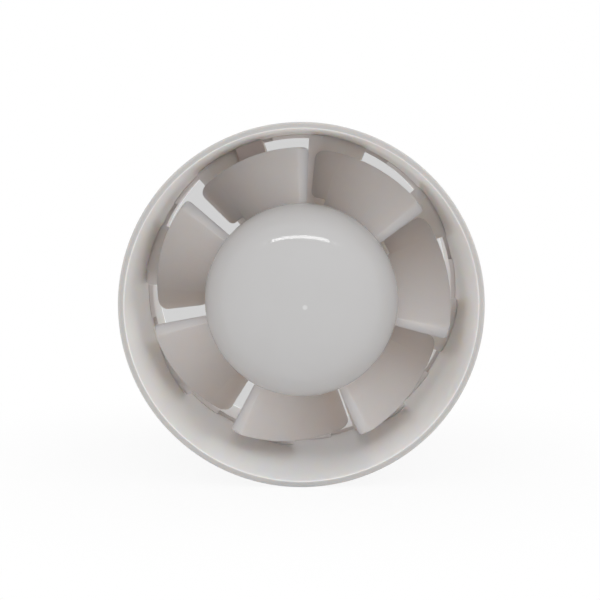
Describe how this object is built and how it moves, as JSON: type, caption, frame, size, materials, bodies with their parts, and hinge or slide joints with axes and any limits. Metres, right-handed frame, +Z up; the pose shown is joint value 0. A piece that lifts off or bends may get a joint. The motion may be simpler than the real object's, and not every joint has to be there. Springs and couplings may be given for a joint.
{
  "type": "axial duct fan",
  "caption": "In-line axial fan for a round duct: plastic sleeve, bladed impeller with a smooth domed hub, and a small motor in a cup carried by fixed guide vanes.",
  "frame": {"origin": "on the fan's axis, half way along the duct sleeve", "axes": "+Y along the axis in the direction of the air flow, from the intake to the discharge; +Z up and +X right as the picture shows the intake side"},
  "size_m": [0.099, 0.088, 0.099],
  "materials": {
    "white_plastic": "satin, moulded",
    "glossy_white": "gloss",
    "grey_plastic": "matt",
    "black_rubber": "matt",
    "sheet_steel": "zinc plated sheet",
    "steel": "zinc plated",
    "laminated_steel": "dark laminated sheet",
    "copper": "copper colour, lacquered",
    "bronze": "sintered, oiled",
    "aluminium": "cast",
    "insulation": "matt",
    "blue_insulation": "satin",
    "cream_plastic": "matt"
  },
  "bodies": {
    "casing": {"cable_grommet": "black_rubber", "cover_screw_1": "steel", "cover_screw_2": "steel", "duct_sleeve": "white_plastic", "front_bearing": "bronze", "front_bearing_retainer": "sheet_steel", "front_end_shield": "sheet_steel", "guide_vane_frame": "white_plastic", "motor_bolt_1": "steel", "motor_bolt_2": "steel", "motor_bolt_3": "steel", "motor_bolt_4": "steel", "motor_cup_cover": "white_plastic", "motor_lead_1": "blue_insulation", "motor_lead_2": "blue_insulation", "motor_mount_screw_1": "steel", "motor_mount_screw_2": "steel", "motor_mount_screw_3": "steel", "motor_mount_screw_4": "steel", "motor_nut_1": "steel", "motor_nut_2": "steel", "motor_nut_3": "steel", "motor_nut_4": "steel", "pole_insulator_1": "insulation", "pole_insulator_2": "insulation", "pole_insulator_3": "insulation", "pole_insulator_4": "insulation", "rear_bearing": "bronze", "rear_bearing_retainer": "sheet_steel", "rear_end_shield": "sheet_steel", "shading_ring_1": "copper", "shading_ring_2": "copper", "shading_ring_3": "copper", "shading_ring_4": "copper", "stator_coil_1": "copper", "stator_coil_2": "copper", "stator_coil_3": "copper", "stator_coil_4": "copper", "stator_core": "laminated_steel", "terminal_block": "cream_plastic", "terminal_block_screw": "steel", "terminal_screw_1": "steel", "terminal_screw_2": "steel", "terminal_screw_3": "steel", "terminal_screw_4": "steel", "thermal_fuse": "grey_plastic", "wire_channel_lid": "white_plastic"},
    "rotor": {"motor_shaft": "steel", "rotor_core": "laminated_steel", "rotor_cage": "aluminium", "rear_rotor_spacer": "grey_plastic", "front_rotor_spacer": "grey_plastic", "impeller": "white_plastic", "hub_dome": "glossy_white", "impeller_washer": "steel", "impeller_nut": "steel"}
  },
  "joints": [
    {"name": "impeller_spin", "type": "hinge", "parent": "casing", "child": "rotor", "pos_m": [0, 0, 0], "axis": [0, 1, 0], "continuous": true}
  ]
}
